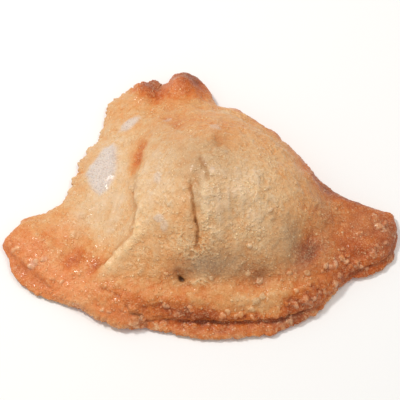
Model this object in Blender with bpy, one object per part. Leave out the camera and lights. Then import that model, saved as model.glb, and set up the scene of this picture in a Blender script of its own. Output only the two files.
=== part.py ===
"""A deep-fried samosa: one closed parcel of dough, lying on its flat back.

Every size below is in millimetres. +X runs from the left ear to the right one, -Y is the front,
where the two sheets of dough meet in an open seam, and +Z is up. The origin is on the table,
under the middle of the parcel.

The parcel has three parts, made in this order and joined as they are made:
  the sheet  the top of the dough, lifted by the filling, with its folds, puffs and dents
  the side   loops that follow the rim from the sheet down to the table
  the base   the flat face that the parcel lies on
"""

import bmesh
import bpy
import numpy as np
from mathutils.geometry import delaunay_2d_cdt

MM = 0.001
RIM_POINTS = 184  # vertices in each loop of the side
SHEET_SPACING = 1.95  # between the vertices of the sheet
SHEET_CLEARANCE = 1.2  # from the sheet's own vertices to its edge
RIM_SMOOTHING = 3  # neighbours on each side that a rim point takes its outward direction from

# The rim from above, clockwise from the left ear: x, y, height of the folded edge, and how far the
# lower sheet's lip stands out past the upper sheet, where the seam is open.
RIM = (
    # left ear, and the thin pressed edge of the flap up to the tip
    (-60.2, -14.6, 4.2, 0.6),
    (-54.9, -8.0, 3.8, 0.1),
    (-48.0, -5.6, 3.4, 0.0),
    (-42.6, -0.8, 3.2, 0.0),
    (-39.8, 5.4, 3.2, 0.0),
    (-37.0, 15.6, 3.2, 0.0),
    (-32.0, 20.8, 3.2, 0.0),
    (-30.6, 28.0, 3.4, 0.0),
    (-29.6, 33.4, 3.8, 0.0),
    (-24.2, 39.0, 4.4, 0.0),
    # the two browned lobes of the tip, with the notch between them
    (-18.6, 42.0, 5.6, 0.0),
    (-14.4, 41.2, 5.6, 0.0),
    (-12.6, 39.8, 4.8, 0.0),
    (-11.4, 42.2, 5.6, 0.0),
    (-8.2, 45.0, 6.8, 0.0),
    (-4.0, 45.4, 7.2, 0.0),
    (0.6, 42.2, 7.4, 0.0),
    (3.6, 37.0, 7.6, 0.0),
    # the rounded fold down the right side
    (5.4, 32.6, 8.6, 0.0),
    (11.8, 29.4, 11.0, 0.0),
    (19.8, 23.8, 12.4, 0.0),
    (28.4, 15.4, 12.2, 0.0),
    (35.2, 6.8, 10.6, 0.0),
    (41.6, 0.8, 8.2, 0.0),
    (50.0, -2.7, 6.0, 0.0),
    # right ear, with its blunt end
    (57.2, -5.9, 4.8, 0.1),
    (60.2, -10.8, 4.6, 0.6),
    (58.6, -18.0, 4.8, 1.1),
    (55.8, -23.4, 4.9, 1.6),
    (50.0, -26.9, 4.9, 2.2),
    (44.8, -28.0, 4.7, 1.2),
    (40.8, -32.0, 4.9, 0.6),
    # the open seam along the front
    (34.2, -38.8, 5.4, 1.5),
    (24.0, -44.2, 5.8, 2.8),
    (12.0, -46.8, 6.0, 3.8),
    (1.0, -47.2, 6.0, 4.5),
    (-8.0, -45.8, 5.8, 3.6),
    (-15.6, -43.8, 5.6, 1.5),
    (-22.4, -44.2, 5.0, 0.2),
    # the closed edge below the flap, and the seam that opens again towards the left ear
    (-31.6, -40.8, 4.4, 0.0),
    (-42.0, -35.6, 4.2, 0.5),
    (-50.6, -32.0, 4.6, 3.3),
    (-56.9, -25.4, 4.6, 2.4),
    (-59.6, -18.8, 4.4, 1.2),
)

# The side where the dough is folded or pressed shut: inset and height, in shares of the edge's height.
CLOSED_SIDE = (
    (0.42, 1.00),
    (0.27, 0.88),
    (0.14, 0.75),
    (0.05, 0.61),
    (0.00, 0.47),
    (0.01, 0.34),
    (0.07, 0.21),
    (0.20, 0.08),
    (0.42, 0.00),
)
# The side where the seam is open: the upper sheet's lip, the groove and the lower sheet's lip, as
# inset and height in millimetres. The first four insets start where the upper sheet ends, and the
# first three heights follow the edge's height.
OPEN_SIDE = (
    (2.3, None),
    (0.7, None),
    (0.0, None),
    (1.4, 2.9),
    (1.6, 2.5),
    (0.4, 1.95),
    (0.0, 1.2),
    (0.5, 0.35),
    (1.7, 0.0),
)
UPPER_INSETS = 4
OPEN_REACH = 1.9  # of the lower lip, from which the seam is fully open
UPPER_LIP = (1.0, 0.86, 0.62)  # its heights, in shares of the edge's height

FLAT_HEIGHT = 6.4  # of the flat flap and the ears
FLAT_RUN = 9.0  # from their edges up to it
BELLY_HEIGHT = 29.5  # where none of the sides below holds the sheet down
SIDE_EASE = 4.0  # over which a side of the belly begins
# The belly's sides as open lines with the filling on their right, the run over which each rises,
# and how much of that rise is hollow at its foot instead of round.
BELLY_SIDES = (
    (((-40.0, -34.0), (-32.5, -15.0), (-30.5, 0.0), (-28.0, 12.0), (-22.0, 38.0)), 34.0, 0.7),
    (((-26.0, 35.0), (6.0, 35.0)), 31.0, 0.0),
    (((-4.0, 40.0), (6.0, 29.5), (17.2, 21.0), (27.0, 11.2), (35.6, 1.0), (48.0, -8.0)), 34.0, 0.0),
    (((47.0, 6.0), (43.0, -36.0)), 30.0, 0.4),
    (((48.0, -25.0), (33.0, -31.0), (17.0, -33.5), (0.0, -34.0), (-40.0, -30.0)), 31.0, 0.0),
)
# Where the belly's sheet lies over the flap, from below the flap up to the notch of the tip.
FOLD_LINE = (
    (-37.0, -42.0),
    (-31.0, -27.5),
    (-24.5, -19.5),
    (-20.2, -14.0),
    (-19.2, -5.5),
    (-18.2, 3.0),
    (-16.4, 14.0),
    (-13.6, 27.0),
    (-12.6, 44.0),
)
FOLD_STEP = 1.5
FOLD_EASE = 1.4  # half the width of the step
FOLD_REACH = 12.0  # over which the step fades on the belly's side
FOLD_START = (-40.0, -27.0)  # over which it grows, from the front towards the back

# Rounded lifts (+) and dents (-): name, x, y, half length, half width, turn in degrees, height.
PUFFS = (
    ("right_lobe", -4.4, 38.2, 7.4, 6.6, 0, 3.0),
    ("left_lobe", -18.8, 37.2, 5.6, 4.6, 0, 2.0),
    ("tip_pit", -13.0, 36.2, 2.6, 4.0, 0, -2.4),
    ("large_blister", -30.6, 10.4, 8.0, 5.2, 68, 1.2),
    ("small_blister", -22.2, 24.8, 5.4, 3.4, 42, 0.9),
    ("front_pocket", 2.0, -38.8, 20.0, 5.0, 0, 1.4),
    ("front_left_pocket", -19.0, -37.0, 11.0, 5.0, -8, 1.0),
    ("front_right_pocket", 26.6, -35.6, 12.0, 4.8, 28, 1.2),
    ("trough_dent", 17.0, -32.2, 4.6, 3.6, 0, -1.2),
    ("vent_dent", -5.4, -31.6, 5.4, 3.8, 20, -1.6),
    ("ear_dent", 31.4, -21.6, 6.4, 4.4, 60, -2.0),
    ("shoulder", 15.0, 5.0, 15.0, 12.0, -40, 1.0),
)
# Long creases (-) and ridges (+): name, points, half width, height.
CREASES = (
    ("fold_shadow", ((-32.0, -28.5), (-25.7, -19.0), (-21.8, -13.0), (-20.8, -5.0), (-19.6, 4.0)), 2.6, -0.8),
    ("flap_valley", ((-39.5, -24.0), (-33.5, -12.0)), 3.6, -1.4),
    ("ear_valley", ((-46.0, -18.5), (-41.5, -9.0)), 3.2, -0.8),
    ("belly_crack", ((-3.0, -9.0), (-1.6, -17.0), (-0.9, -24.5)), 2.4, -1.1),
    ("belly_ridge", ((2.2, -2.0), (3.6, -12.0), (3.8, -22.0)), 3.2, 0.7),
    ("upper_crease", ((1.0, -3.0), (4.0, 3.0), (8.0, 8.0)), 2.8, -0.9),
    ("tip_crease", ((-12.4, 31.0), (-8.0, 24.5), (-4.4, 18.0)), 2.4, -1.0),
    ("side_crease", ((9.4, -13.0), (10.4, -20.0)), 2.4, -0.5),
)


def closed_spline(rows, count):
    """Points spaced evenly along a smooth closed curve through rows, each with the row's other values."""
    rows = np.array(rows, float)
    steps = np.linspace(0.0, 1.0, 48, endpoint=False)[:, None]
    dense = []
    for i in range(len(rows)):
        before, start, end, after = (rows[(i + k) % len(rows)] for k in (-1, 0, 1, 2))
        dense.append(
            start
            + 0.5 * steps * (end - before)
            + 0.5 * steps**2 * (2 * before - 5 * start + 4 * end - after)
            + 0.5 * steps**3 * (3 * start - before - 3 * end + after)
        )
    dense = np.vstack([*dense, rows[:1]])
    length = np.concatenate([[0.0], np.cumsum(np.hypot(*np.diff(dense[:, :2], axis=0).T))])
    at = np.linspace(0.0, length[-1], count, endpoint=False)
    return np.stack([np.interp(at, length, column) for column in dense.T], axis=1)


def outward_directions(loop):
    """Unit vectors away from a clockwise loop, evened out so that they turn slowly round the ears."""
    along = sum(np.roll(loop, -k, 0) - np.roll(loop, k, 0) for k in range(1, RIM_SMOOTHING + 1))
    outward = np.stack([-along[:, 1], along[:, 0]], axis=1)
    return outward / np.linalg.norm(outward, axis=1, keepdims=True)


def line_distance(points, line):
    """Distance from points to an open line, positive on its right."""
    line = np.array(line, float)
    nearest = np.full(len(points), np.inf)
    side = np.ones(len(points))
    for start, end in zip(line[:-1], line[1:]):
        run = end - start
        share = np.clip((points - start) @ run / (run @ run), 0.0, 1.0)
        offset = points - (start + share[:, None] * run)
        away = np.hypot(*offset.T)
        closer = away < nearest - 1e-9
        nearest = np.where(closer, away, nearest)
        to_right = (points - start) @ np.array([run[1], -run[0]])
        side = np.where(closer, np.where(to_right >= 0.0, 1.0, -1.0), side)
    return nearest * side


def inside(points, loop):
    """True for the points that lie inside a closed loop."""
    following = np.roll(loop, -1, 0)
    x, y = points[:, :1], points[:, 1:]
    crosses = (loop[:, 1] > y) != (following[:, 1] > y)
    rise = following[:, 1] - loop[:, 1]
    rise = np.where(rise == 0.0, 1.0, rise)
    crossing_x = loop[:, 0] + (y - loop[:, 1]) / rise * (following[:, 0] - loop[:, 0])
    return (crosses & (x < crossing_x)).sum(axis=1) % 2 == 1


def dome(distance, run):
    """0 at a side, rising like a quarter round to 1 at the end of its run."""
    share = np.clip(distance / run, 0.0, 1.0)
    return 1.0 - (1.0 - share) ** 2


def side_share(points, line, run, hollow):
    """How far up one side of the belly the points are, from 0 at its foot to 1 at its end."""
    distance = line_distance(points, line)
    share = np.clip(0.5 * (distance + np.hypot(distance, SIDE_EASE)) / run, 0.0, 1.0)
    return (1.0 - hollow) * (1.0 - (1.0 - share) ** 2) + hollow * share**2 * (3.0 - 2.0 * share)


def fold_step(points):
    """The step up from the flap to the belly's sheet, along the fold line."""
    distance = line_distance(points, FOLD_LINE)
    step = 0.5 + 0.5 * distance / np.hypot(distance, FOLD_EASE)
    start, full = FOLD_START
    grown = np.clip((points[:, 1] - start) / (full - start), 0.0, 1.0)
    return FOLD_STEP * step * grown * np.exp(-((np.maximum(distance, 0.0) / FOLD_REACH) ** 2))


def puff(points, x, y, half_length, half_width, turn, height):
    """A soft round lift or dent, nearly level on top."""
    angle = np.radians(turn)
    dx, dy = (points - (x, y)).T
    along = (dx * np.cos(angle) + dy * np.sin(angle)) / half_length
    across = (dy * np.cos(angle) - dx * np.sin(angle)) / half_width
    return height * np.exp(-((along**2 + across**2) ** 1.3))


def crease(points, line, half_width, height):
    """A soft fold that follows a line and fades at its ends."""
    return height * np.exp(-((line_distance(points, line) / half_width) ** 2))


def rim_height(points, edge):
    """The height of the rim, carried inwards from the nearest stretch of it."""
    away = np.linalg.norm(points[:, None, :] - edge[None, :, :2], axis=2)
    weights = 1.0 / (away**2 + 1.0) ** 2
    return weights @ edge[:, 2] / weights.sum(axis=1)


def sheet_height(points, edge):
    """The height of the top sheet over the table."""
    from_edge = np.abs(line_distance(points, np.vstack([edge[:, :2], edge[:1, :2]])))
    rim = rim_height(points, edge)
    flat = rim + np.maximum(FLAT_HEIGHT - rim, 0.0) * dome(from_edge, FLAT_RUN)
    filled = np.prod([side_share(points, *side) for side in BELLY_SIDES], axis=0)
    relief = fold_step(points)
    for _, *shape in PUFFS:
        relief += puff(points, *shape)
    for _, *shape in CREASES:
        relief += crease(points, *shape)
    return flat + (BELLY_HEIGHT - flat) * filled + relief * dome(from_edge, 3.0)


def side_loops(rim):
    """The loops of the side, from the sheet's edge down to the table, as arrays of x, y and z."""
    place, height, reach = rim[:, :2], rim[:, 2], np.maximum(rim[:, 3], 0.0)
    seam = np.clip(reach / OPEN_REACH, 0.0, 1.0)
    outward = outward_directions(place)
    loops = []
    for level, (closed, opened) in enumerate(zip(CLOSED_SIDE, OPEN_SIDE)):
        opened_height = height * UPPER_LIP[level] if level < len(UPPER_LIP) else opened[1]
        opened_inset = opened[0] + reach if level < UPPER_INSETS else opened[0]
        inset = (1.0 - seam) * closed[0] * height + seam * opened_inset
        up = (1.0 - seam) * closed[1] * height + seam * opened_height
        loops.append(np.column_stack([place - outward * inset[:, None], up]))
    return loops


def lattice(edge):
    """The sheet's own points: rows of equal triangles, kept clear of the edge."""
    low, high = edge[:, :2].min(axis=0), edge[:, :2].max(axis=0)
    rows = []
    row_gap = SHEET_SPACING * np.sqrt(0.75)
    for k, y in enumerate(np.arange(low[1], high[1], row_gap)):
        x = np.arange(low[0] + SHEET_SPACING * 0.5 * (k % 2), high[0], SHEET_SPACING)
        rows.append(np.column_stack([x, np.full(len(x), y)]))
    points = np.vstack(rows)
    loop = np.vstack([edge[:, :2], edge[:1, :2]])
    clear = np.abs(line_distance(points, loop)) > SHEET_CLEARANCE
    return points[clear & inside(points, edge[:, :2])]


def add_sheet(bm, edge):
    """Fills the edge loop with the top sheet, and returns the vertices of that loop in order."""
    own = lattice(edge)
    count = len(edge)
    ring = [(k, (k + 1) % count) for k in range(count)]
    flat = [tuple(p) for p in np.vstack([edge[:, :2], own])]
    places, _, faces, came_from, _, _ = delaunay_2d_cdt(flat, ring, [], 1, 1e-6)
    heights = np.concatenate([edge[:, 2], sheet_height(own, edge)])
    verts = [
        bm.verts.new((p.x * MM, p.y * MM, heights[source[0]] * MM))
        for p, source in zip(places, came_from)
    ]
    for face in faces:
        bm.faces.new([verts[k] for k in face])
    by_source = {source[0]: vert for vert, source in zip(verts, came_from)}
    return [by_source[k] for k in range(count)]


def extrude_loop(bm, loop, places):
    """Extrudes a closed loop of vertices and moves the new loop to its places."""
    edges = [bm.edges.get((loop[k - 1], loop[k])) for k in range(len(loop))]
    made = bmesh.ops.extrude_edge_only(bm, edges=edges)["geom"]
    new = {v for v in made if isinstance(v, bmesh.types.BMVert)}
    following = []
    for vert in loop:
        following.append(next(o for o in (e.other_vert(vert) for e in vert.link_edges) if o in new))
    for vert, place in zip(following, places):
        vert.co = place * MM
    return following


def fried_dough():
    """Golden fried dough."""
    material = bpy.data.materials.new("fried_dough")
    material.use_nodes = True
    shader = material.node_tree.nodes["Principled BSDF"]
    shader.inputs["Base Color"].default_value = (0.62, 0.33, 0.13, 1.0)
    shader.inputs["Roughness"].default_value = 0.5
    shader.inputs["Metallic"].default_value = 0.0
    return material


def make_pastry():
    """The whole parcel as one closed body."""
    loops = side_loops(closed_spline(RIM, RIM_POINTS))
    bm = bmesh.new()
    loop = add_sheet(bm, loops[0])
    for places in loops[1:]:
        loop = extrude_loop(bm, loop, places)
    bmesh.ops.contextual_create(bm, geom=loop)
    bmesh.ops.recalc_face_normals(bm, faces=bm.faces)
    flat = np.array([v.co.xy for v in bm.verts])
    centre = 0.5 * (flat.min(axis=0) + flat.max(axis=0))
    bmesh.ops.translate(bm, verts=bm.verts, vec=(-centre[0], -centre[1], 0.0))
    mesh = bpy.data.meshes.new("pastry")
    bm.to_mesh(mesh)
    bm.free()
    mesh.shade_smooth()
    mesh.set_sharp_from_angle(angle=np.radians(60.0))
    mesh.materials.append(fried_dough())
    pastry = bpy.data.objects.new("pastry", mesh)
    bpy.context.scene.collection.objects.link(pastry)


def main():
    for obj in list(bpy.data.objects):
        bpy.data.objects.remove(obj)
    make_pastry()


main()
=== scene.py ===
"""A deep-fried samosa: its blistered crust, and the studio stage that it lies on.

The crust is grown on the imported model's parcel, in the same frame: +X from the left ear to the
right one, +Y from the open seam to the pinched tip, +Z up. Its relief is worked out in millimetres.
"""

import itertools
import math

import bmesh
import bpy
import numpy as np
from mathutils import Euler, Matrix, Vector, kdtree, noise


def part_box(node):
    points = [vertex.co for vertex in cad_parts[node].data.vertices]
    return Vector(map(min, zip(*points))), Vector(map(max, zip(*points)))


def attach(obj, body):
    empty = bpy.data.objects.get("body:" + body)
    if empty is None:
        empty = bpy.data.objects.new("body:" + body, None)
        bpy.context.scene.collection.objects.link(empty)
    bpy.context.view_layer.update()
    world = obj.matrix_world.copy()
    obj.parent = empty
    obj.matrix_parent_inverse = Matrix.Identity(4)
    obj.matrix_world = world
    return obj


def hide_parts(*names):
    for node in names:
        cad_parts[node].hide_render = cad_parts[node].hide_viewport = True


bl_info = {
    "name": "Samosa",
    "version": (1, 0, 0),
    "blender": (4, 5, 0),
    "location": "3D View > Sidebar > Samosa",
    "description": "A deep-fried samosa with a blistered crust, on a pale studio floor",
    "category": "Object",
}

MM = 0.001
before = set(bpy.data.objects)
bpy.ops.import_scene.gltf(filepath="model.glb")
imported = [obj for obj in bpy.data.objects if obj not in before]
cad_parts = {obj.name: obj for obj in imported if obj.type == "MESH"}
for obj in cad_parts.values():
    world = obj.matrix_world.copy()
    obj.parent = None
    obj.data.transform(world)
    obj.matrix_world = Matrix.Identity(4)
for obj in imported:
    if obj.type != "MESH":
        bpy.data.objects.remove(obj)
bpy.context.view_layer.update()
MIDDLE = np.array([0.0, -5.0])  # the bearings round the rim are seen from here
STEPS_PER_DEGREE = 2  # of the rim's outline, round the middle
SEED = 11
TURN = np.array(Euler((0.9, 0.5, 0.7)).to_matrix())  # keeps the noise's own grid off the axes
UNDERSIDE_MERGED = 0.86  # share of the flat underside's faces that are merged away
PLAIN_TOAST = 0.325  # how brown the dough is outside its browner and paler places

# Where the camera and the lights look and stand, in metres.
CAMERA_AIM = (0.0, -1.5 * MM, 5.0 * MM)
LIGHT_AIM = (0.0, 0.0, 0.01)
KEY_PLACE = (-0.26, 0.13, 0.52)
FILL_PLACE = (0.22, 0.06, 0.56)
KEY_SIZE = 0.09
FILL_SIZE = 0.06
WARM = (1.0, 0.98, 0.95)
WHITE = (1.0, 1.0, 1.0)

# The dough's tones from pale to dark, evenly spaced, and the colours that are laid over them. The filling,
# pore, crease and vent colours also paint shade, and the blister and bubble colours also paint highlights.
TONES = ("pale", "cream", "golden", "orange", "brown", "dark")
OVERLAYS = ("blush", "filling", "film", "pore", "blister", "bubble", "crease", "vent")

# Stretches of the rim, as bearings in degrees from +X towards +Y.
FRONT_SEAM = (243.0, 320.0)
RIGHT_EAR_SEAM = (331.0, 356.0)
LEFT_EAR_SEAM = (188.0, 217.0)
FLAP_EDGE = (100.0, 185.0)
RIGHT_FOLD = (3.0, 78.0)
BLISTERED_FRONT = (215.0, 345.0)
FRAYED_FRONT = (205.0, 345.0)
CRIMPED_RIM = (186.0, 358.0)
CRUMBLY_LIP = (236.0, 330.0)
WAVERING_LIP = (230.0, 332.0)
LUMPY_LIP = (232.0, 330.0)

# Single places in millimetres, as soft ovals: x, y, half length, half width, turn in degrees, amount.
FLAP = (-29.0, 0.0, 8.0, 24.0, 0, 1.0)
LOBE_GAP = (-10.4, 38.6, 4.0, 5.0, 0, 0.9)
RIGHT_BULGE = (28.0, -5.0, 6.0, 17.0, 6, 1.4)
WRINKLED_BELLY = (10.0, -15.0, 15.0, 11.0, 0, 1.0)
WRINKLED_FLAP = (-24.5, -3.0, 4.5, 16.0, -6, 1.0)
VENT_HOLE = (-5.5, -30.8, 1.2, 0.58, -50, 1.0)
VENT_SHADOW = (-6.0, -30.0, 2.2, 1.4, -50, 0.5)
DENT = (17.2, -30.6, 1.8, 1.5, 0, 1.0)

# Where the belly's sheet lies over the flap, from the front up to the tip.
FOLD_LINE = (
    (-31.6, -28.8), (-29.6, -26.4), (-27.2, -24.6), (-25.2, -22.6), (-22.4, -20.6),
    (-20.4, -18.8), (-19.0, -15.0), (-18.9, -10.6), (-19.4, -6.0), (-19.1, -2.4),
    (-18.9, 1.6), (-17.9, 5.6), (-17.3, 10.4), (-16.6, 14.6), (-15.4, 19.0),
)
# Creases: name, half width, depth, darkness (how strongly the crease is painted with shade), and the points
# along them.
CREASES = (
    (
        "crack", 0.42, 0.60, 0.55,
        (-3.4, -6.6), (-2.7, -10.3), (-1.9, -13.1), (-1.6, -15.8), (-1.2, -18.2), (-0.8, -22.0),
    ),
    (
        "crack_foot", 0.42, 0.50, 0.80,
        (-1.5, -16.4), (-1.0, -19.0), (-0.6, -21.0), (-0.7, -23.0), (-1.4, -25.2),
    ),
    ("crown", 0.8, 0.55, 0.40, (-0.4, 0.8), (0.3, -1.6), (1.0, -3.8), (2.2, -7.0), (3.6, -10.4)),
    ("shoulder", 1.6, 0.35, 0.15, (4.6, 9.4), (5.4, 6.4), (4.4, 3.4)),
    ("tip", 1.3, 0.40, 0.08, (-12.4, 24.6), (-10.6, 22.6), (-8.4, 18.4), (-6.2, 14.2)),
    ("side", 1.1, 0.35, 0.14, (8.8, -11.4), (9.6, -14.8), (9.3, -17.4)),
    ("front_left", 0.7, 0.35, 0.25, (-30.6, -32.2), (-27.9, -33.4), (-25.8, -34.8), (-23.2, -37.2)),
    ("lip_end", 0.6, 0.6, 0.5, (-22.6, -37.8), (-20.6, -39.4), (-18.4, -40.3), (-16.8, -41.8)),
    (
        "left_ear", 0.7, 0.4, 0.10,
        (-58.6, -16.8), (-57.0, -19.6), (-53.8, -23.0), (-51.0, -25.4), (-47.0, -28.6), (-42.0, -33.4),
    ),
    ("vent_fold", 0.9, 0.4, 0.12, (-8.6, -28.4), (-6.4, -29.6), (-4.2, -32.2), (-1.0, -32.8)),
)
# Rounded ridges, or grooves where the height is below 0: name, half width, height, whiteness (the dough's
# own paleness, and painted highlight where a ridge catches the light), points.
RIDGES = (
    ("crack_lip", 1.25, 0.75, 0.50, (0.6, -6.6), (1.2, -9.6), (1.5, -13.2), (1.7, -17.0), (1.9, -21.6)),
    ("crack_back", 1.3, 0.35, 0.0, (-4.6, -11.0), (-3.8, -15.0), (-3.4, -19.4)),
    ("trough_end", 0.8, 0.5, 0.25, (-3.8, -31.6), (-1.6, -32.3), (0.6, -32.2)),
    ("lobe_step", 2.0, -0.35, 0.0, (-13.0, 35.2), (-8.0, 34.2), (-2.0, 34.4), (3.2, 34.8)),
    ("froth_rim", 1.3, 0.3, 0.5, (3.4, 32.6), (6.4, 31.6), (9.6, 29.6), (13.0, 29.4)),
    ("flap_wave", 1.5, 0.3, 0.08, (-27.0, -14.0), (-24.0, -5.0), (-23.4, 2.0)),
    ("flap_fold", 0.8, 0.4, 0.30, (-38.6, -15.8), (-38.2, -12.4)),
    ("flap_fold_2", 0.7, 0.35, 0.22, (-36.9, -15.2), (-36.9, -12.4)),
    ("valley_wall", 1.2, 0.45, 0.05, (-34.6, -23.6), (-33.2, -17.6)),
    ("ear_wave", 1.8, 0.35, 0.05, (-52.0, -12.0), (-46.0, -16.0), (-43.0, -20.0)),
    ("front_wave", 1.6, 0.40, 0.05, (-26.0, -30.6), (-21.0, -33.0), (-17.0, -36.4)),
    ("front_wave_2", 1.6, 0.35, 0.05, (-12.0, -32.6), (-11.0, -36.0)),
    ("front_wave_3", 1.6, 0.35, 0.05, (-3.0, -34.4), (-2.0, -38.0)),
    ("belly_wave", 1.6, 0.40, 0.25, (15.0, -3.0), (16.4, -9.0), (16.8, -16.0)),
    ("belly_wave_2", 1.2, 0.35, 0.30, (12.4, -8.0), (12.8, -15.0)),
    ("belly_wave_3", 1.4, 0.35, 0.22, (20.4, -6.0), (20.8, -13.0)),
)

# The film of the big white blister, as the loop round it.
BIG_BLISTER = (
    (-26.6, 17.4), (-25.6, 14.6), (-25.3, 9.4), (-25.8, 4.4),
    (-28.2, 0.2), (-30.6, -1.2), (-32.8, 1.2), (-34.4, 4.0),
    (-35.0, 7.0), (-34.0, 10.0), (-31.8, 13.0), (-29.4, 16.2),
)
# Other places where a film of dough has lifted off, as ovals: x, y, half length, half width, turn, amount.
SMALL_FILMS = (
    (-21.8, 24.0, 4.6, 2.2, 36, 0.85),
    (-12.6, -3.4, 1.3, 2.4, 10, 0.45),
    (-11.8, -16.2, 2.2, 1.3, -30, 0.5),
    (-10.4, -18.4, 1.6, 2.0, 0, 0.35),
    (-9.9, 21.6, 1.7, 1.2, 0, 0.35),
    (4.6, 13.4, 2.2, 2.0, -40, 0.35),
    (3.6, -5.6, 1.2, 1.5, 0, 0.35),
    (-50.0, -23.4, 2.6, 1.4, 50, 0.25),
    (-46.4, -22.0, 1.6, 1.0, 40, 0.20),
    (38.2, -25.6, 2.0, 1.2, 10, 0.16),
    (40.4, -24.2, 0.9, 1.7, 0, 0.16),
)

# Bubbles that stand out of the crust: x, y and radius.
BUBBLES = (
    # along the lower lip of the front seam
    (-10.9, -41.9, 1.15), (-7.1, -42.5, 0.6), (-4.1, -42.4, 1.05), (-1.5, -42.6, 1.1), (2.6, -42.2, 0.75),
    (4.4, -42.5, 0.55), (6.6, -43.0, 0.7), (20.3, -43.0, 0.9), (23.2, -41.8, 1.0), (26.5, -40.8, 1.2),
    # on the upper lip and the band above it
    (-2.9, -39.2, 1.4), (-10.0, -38.6, 1.1), (6.6, -40.8, 1.3), (7.9, -39.8, 1.1), (10.5, -41.0, 1.1),
    (12.0, -40.9, 1.1), (15.4, -41.2, 0.8), (15.2, -39.4, 1.1), (16.4, -37.2, 1.3), (18.1, -36.0, 1.1),
    (25.8, -37.8, 0.9), (28.2, -37.5, 0.9), (30.3, -36.1, 1.1), (32.1, -36.3, 1.1), (30.9, -35.1, 1.0),
    (33.3, -34.9, 0.9), (35.4, -33.3, 0.8), (36.7, -32.6, 0.8), (3.4, -31.2, 0.9), (14.1, -30.0, 0.9),
    (17.4, -31.4, 1.1), (26.4, -29.2, 0.9), (31.4, -28.6, 1.2), (28.2, -34.0, 0.9),
    # round the root of the right ear
    (37.4, -25.8, 1.2), (38.9, -25.4, 1.1), (40.2, -24.6, 1.2), (36.4, -27.3, 0.8), (41.7, -27.2, 1.2),
    (40.1, -30.0, 1.1), (42.4, -22.5, 1.3), (43.9, -21.4, 0.8), (43.9, -23.0, 1.0), (45.1, -24.2, 1.1),
    (46.9, -23.2, 1.2), (45.7, -24.8, 0.9),
    # on the right ear
    (48.4, -14.2, 1.1), (52.9, -7.4, 0.9), (54.1, -11.1, 1.4), (56.0, -9.6, 1.1), (52.8, -17.8, 1.0),
    (56.0, -16.3, 0.9), (51.8, -20.6, 1.2), (54.4, -19.8, 0.9), (50.0, -23.8, 0.8),
    # at the left end of the front, and on the left ear
    (-19.2, -42.0, 2.0), (-18.6, -43.2, 1.4), (-49.0, -23.0, 1.1), (-50.6, -24.0, 1.1), (-44.0, -28.2, 1.0),
    (-41.2, -29.6, 0.9), (-47.2, -22.2, 0.9), (-25.4, -22.6, 0.9), (-19.8, -16.8, 1.1), (-27.6, -32.2, 0.8),
    (-24.4, -31.8, 0.8), (-28.6, -38.7, 0.9), (-26.9, -39.3, 0.8),
    # on the belly
    (14.3, -24.3, 1.0), (20.4, -14.9, 0.9), (3.6, -6.0, 0.8), (-12.4, -1.9, 0.8),
)

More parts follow.
